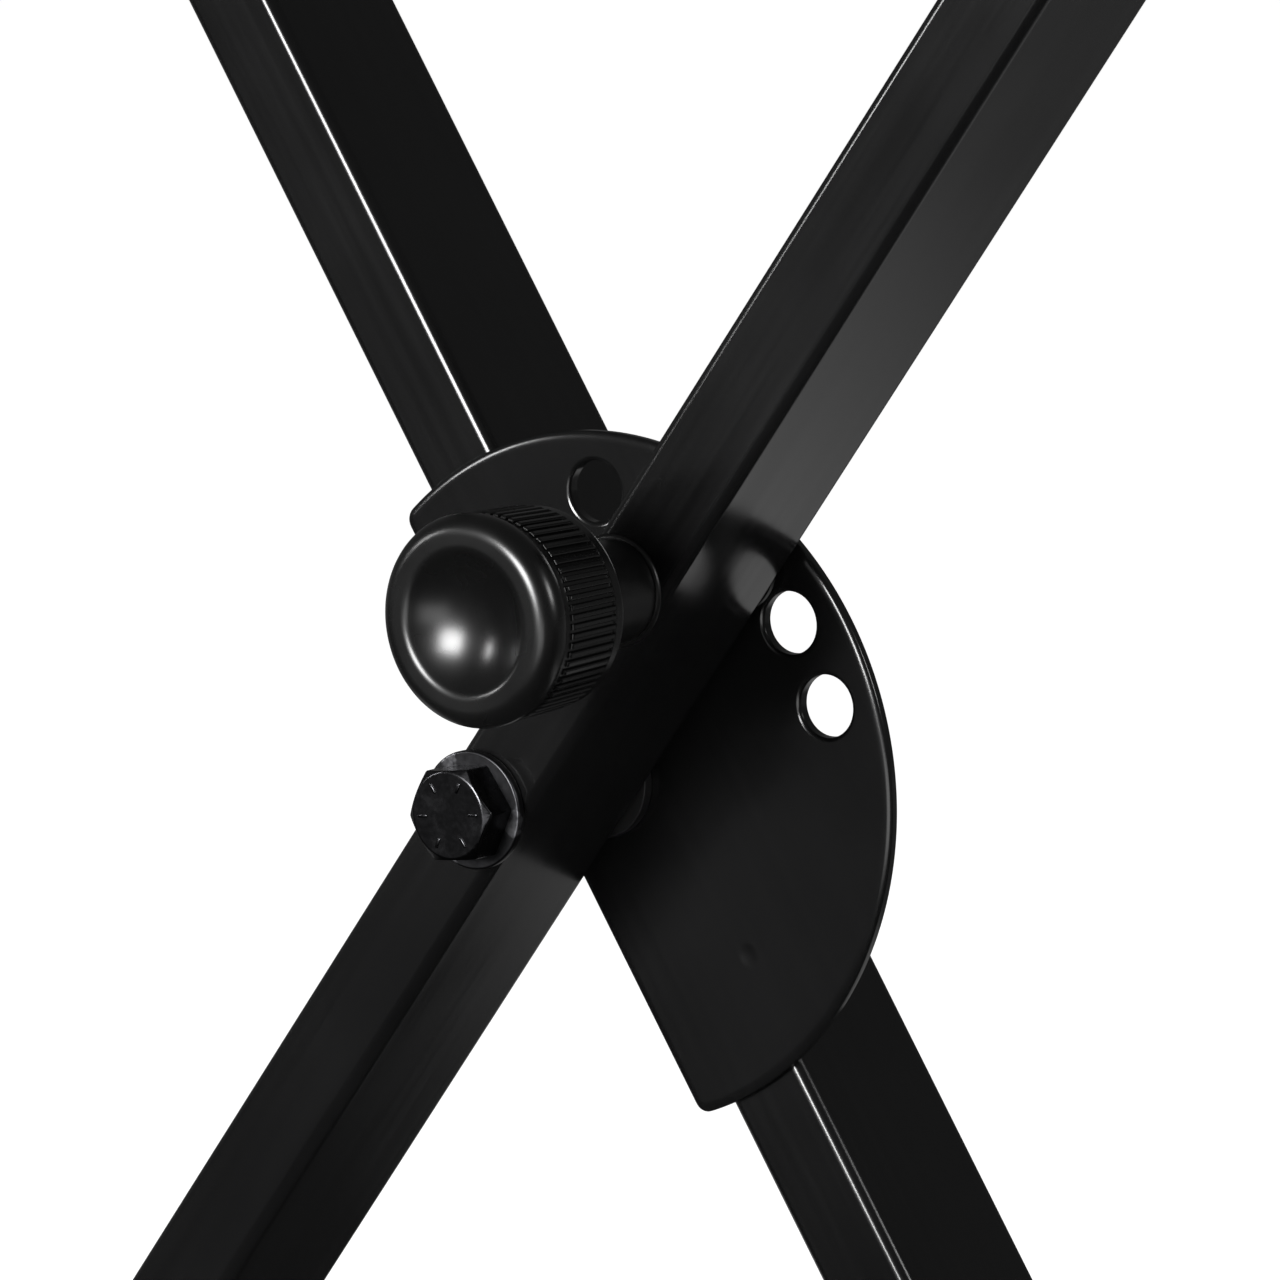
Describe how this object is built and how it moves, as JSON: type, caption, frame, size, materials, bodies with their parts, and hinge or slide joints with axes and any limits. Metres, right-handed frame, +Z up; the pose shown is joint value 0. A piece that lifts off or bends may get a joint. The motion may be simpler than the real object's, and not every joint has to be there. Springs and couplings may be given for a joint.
{
  "type": "folding keyboard stand",
  "caption": "Single-X folding stand of rectangular steel tube with a bolted pivot, a D-shaped lock plate with a ring of holes and a spring-loaded pull knob.",
  "frame": {"origin": "on the floor under the pivot, half way along the base bars", "axes": "+X across the X of the legs, towards the side where the front leg's top leans; +Y from the player's side to the back; +Z up"},
  "size_m": [0.5922, 0.43, 0.8392],
  "materials": {
    "leg_paint": "black satin powder coat",
    "plate_paint": "black gloss powder coat",
    "black_zinc": "black zinc, glossy",
    "bright_zinc": "bright zinc",
    "spring_steel": "oiled spring steel",
    "brass": "turned brass",
    "knob_plastic": "black moulded plastic, satin gloss",
    "nylon": "black nylon",
    "boot_rubber": "black moulded rubber"
  },
  "bodies": {
    "rear_frame": {"rear_leg_tube": "leg_paint", "lock_plate": "plate_paint", "rear_pivot_sleeve": "bright_zinc", "pivot_bolt": "black_zinc", "pivot_head_washer": "black_zinc", "pivot_spacer": "nylon", "pivot_rear_washer": "black_zinc", "pivot_lock_nut": "black_zinc", "rear_foot_saddle": "leg_paint", "rear_arm_saddle": "leg_paint", "rear_base_bar": "leg_paint", "rear_support_arm": "leg_paint", "rear_base_boots": "boot_rubber", "rear_arm_boots": "boot_rubber", "rear_saddle_bolts": "black_zinc", "rear_saddle_washers": "black_zinc", "rear_weld_nuts": "bright_zinc"},
    "front_frame": {"front_leg_tube": "leg_paint", "front_pivot_sleeve": "bright_zinc", "plunger_housing": "leg_paint", "plunger_guide": "nylon", "front_foot_saddle": "leg_paint", "front_arm_saddle": "leg_paint", "front_base_bar": "leg_paint", "front_support_arm": "leg_paint", "front_base_boots": "boot_rubber", "front_arm_boots": "boot_rubber", "front_saddle_bolts": "black_zinc", "front_saddle_washers": "black_zinc", "front_weld_nuts": "bright_zinc"},
    "plunger_seat": {"plunger_seat_washer": "bright_zinc", "plunger_spring": "spring_steel"},
    "plunger": {"plunger_pin": "bright_zinc", "pull_knob": "knob_plastic", "knob_insert": "brass"}
  },
  "joints": [
    {"name": "fold", "type": "hinge", "parent": "rear_frame", "child": "front_frame", "pos_m": [0, 0, 0.41958], "axis": [0, 1, 0], "range_deg": [-63, 36]},
    {"name": "knob_pull", "type": "slide", "parent": "front_frame", "child": "plunger_seat", "axis": [0, -1, 0], "range_m": [0, 0.01], "stiffness_N_per_m": 1500, "springref_m": -0.006, "deforming": ["plunger_spring"]},
    {"name": "knob_turn", "type": "hinge", "parent": "plunger_seat", "child": "plunger", "pos_m": [0.03313, -0.0425, 0.46779], "axis": [0, -1, 0], "continuous": true}
  ]
}
